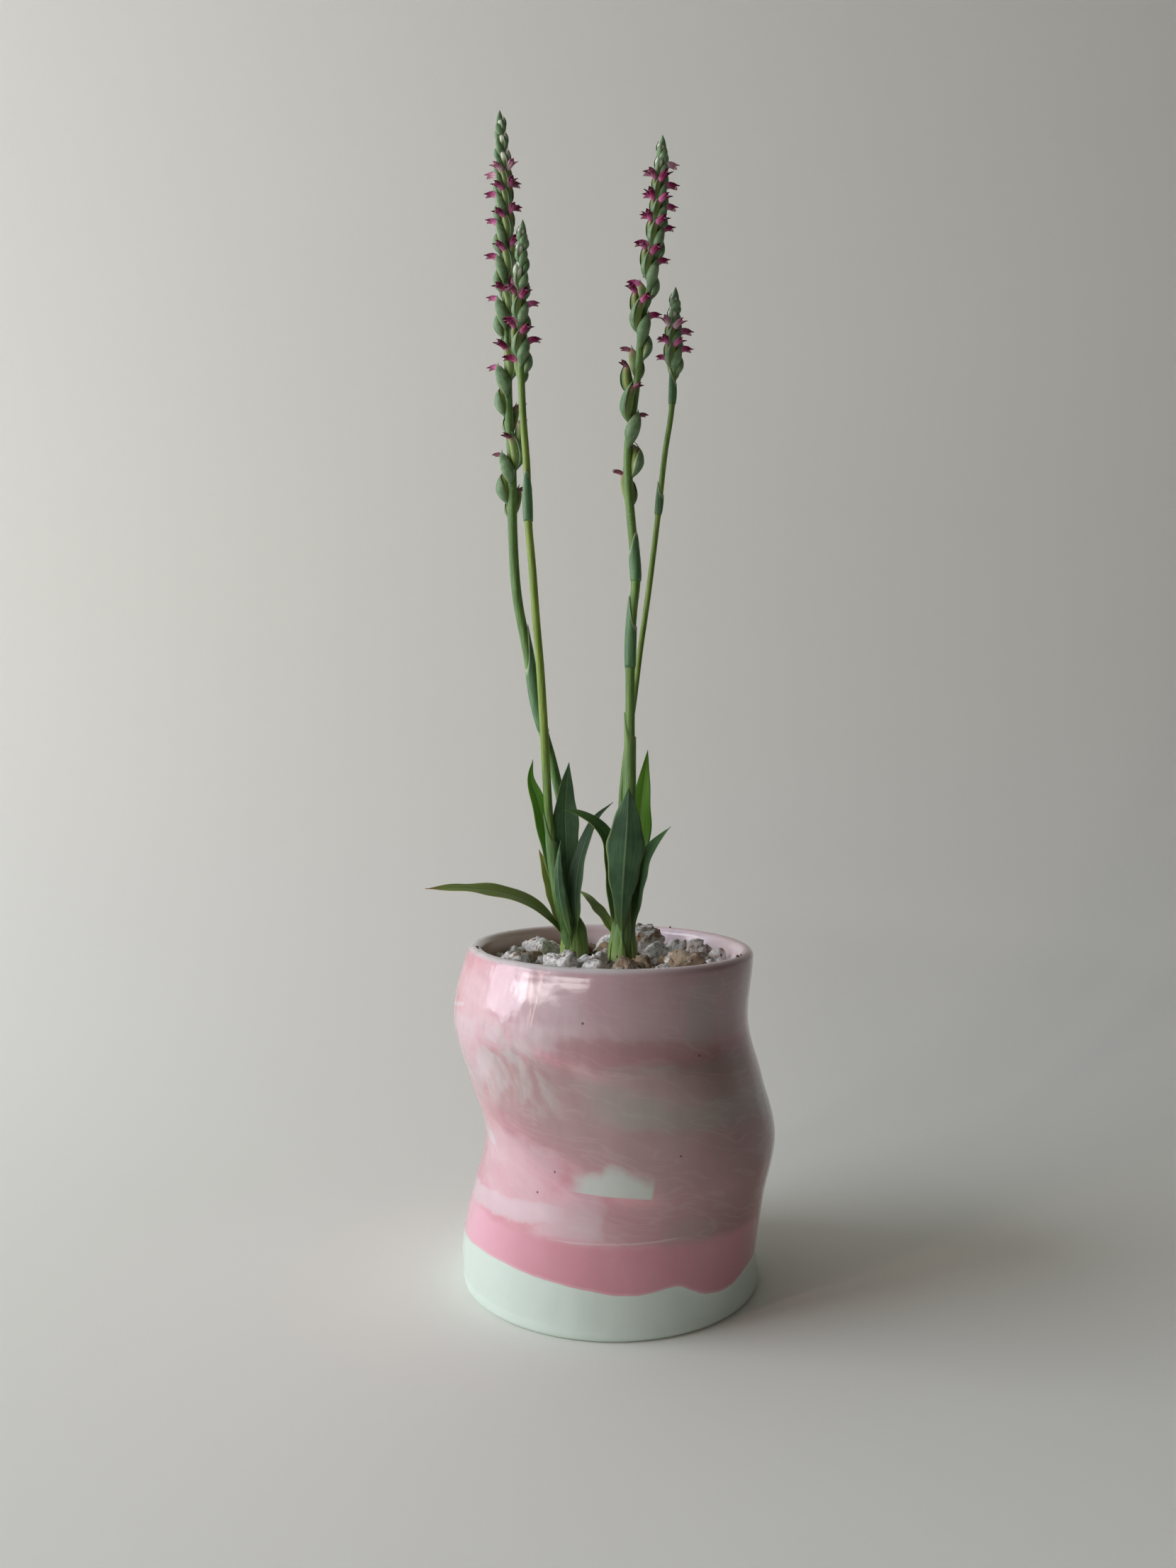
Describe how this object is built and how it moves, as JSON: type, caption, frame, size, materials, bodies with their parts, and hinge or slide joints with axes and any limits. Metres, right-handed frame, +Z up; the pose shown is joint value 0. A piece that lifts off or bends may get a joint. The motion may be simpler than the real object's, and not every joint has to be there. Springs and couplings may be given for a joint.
{
  "type": "potted ladies tresses orchid",
  "caption": "Small orchid with slender spiral flower spikes and narrow leaves, in a round pot with a waving outline and pumice on top.",
  "frame": {"origin": "centre of the pot's flat foot, on the surface it stands on", "axes": "+Z up along the pot and the stalks, +Y away from the viewer of the front, +X to the viewer's right"},
  "size_m": [0.1106, 0.0941, 0.3703],
  "materials": {
    "marbled_clay": "glossy glaze over pink and pale green marbled clay, plain pale green near the foot",
    "potting_mix": "matt dark crumbly bark and grit mix",
    "pumice": "rough pitted pumice, white-grey to tan with rusty pits",
    "leaves": "satin green leaf with a pale midrib",
    "flower_spike": "satin green stalk and bracts with small pink flowers"
  },
  "bodies": {
    "root": {"left_leafy_crown": "leaves", "left_short_spike": "flower_spike", "left_tall_spike": "flower_spike", "pot": "marbled_clay", "potting_mix": "potting_mix", "pumice_01": "pumice", "pumice_02": "pumice", "pumice_03": "pumice", "pumice_04": "pumice", "pumice_05": "pumice", "pumice_06": "pumice", "pumice_07": "pumice", "pumice_08": "pumice", "pumice_09": "pumice", "pumice_10": "pumice", "pumice_11": "pumice", "pumice_12": "pumice", "pumice_13": "pumice", "pumice_14": "pumice", "pumice_15": "pumice", "pumice_16": "pumice", "pumice_17": "pumice", "pumice_18": "pumice", "pumice_19": "pumice", "pumice_20": "pumice", "pumice_21": "pumice", "pumice_22": "pumice", "pumice_23": "pumice", "pumice_24": "pumice", "pumice_25": "pumice", "pumice_26": "pumice", "pumice_27": "pumice", "pumice_28": "pumice", "pumice_29": "pumice", "pumice_30": "pumice", "pumice_31": "pumice", "pumice_32": "pumice", "pumice_33": "pumice", "pumice_34": "pumice", "pumice_35": "pumice", "pumice_36": "pumice", "pumice_37": "pumice", "pumice_38": "pumice", "pumice_39": "pumice", "right_leafy_crown": "leaves", "right_short_spike": "flower_spike", "right_tall_spike": "flower_spike"}
  },
  "joints": []
}
